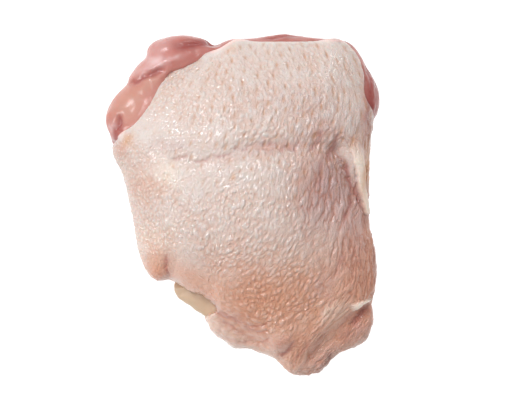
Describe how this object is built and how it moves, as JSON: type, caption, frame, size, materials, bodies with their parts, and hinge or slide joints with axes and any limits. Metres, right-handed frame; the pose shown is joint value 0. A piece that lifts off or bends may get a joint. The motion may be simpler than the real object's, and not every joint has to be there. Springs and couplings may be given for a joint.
{
  "type": "raw chicken thigh",
  "caption": "Raw skin-on chicken thigh lying skin side up: pale pebbled skin draped over pink meat that bulges out at the broad end, with a pad of fat at one edge.",
  "frame": {"origin": "centre of the bounding box in plan, at table height under the flattened meat", "axes": "+Z up from the table through the skin side, +Y from the narrow knee end to the broad cut end, +X to the right seen from above with +Y up"},
  "size_m": [0.1078, 0.1344, 0.034],
  "materials": {
    "skin": "wet, semi-gloss",
    "meat": "wet, glossy",
    "fat": "satin"
  },
  "bodies": {
    "root": {"skin": "skin", "meat": "meat", "fat": "fat"}
  },
  "joints": []
}
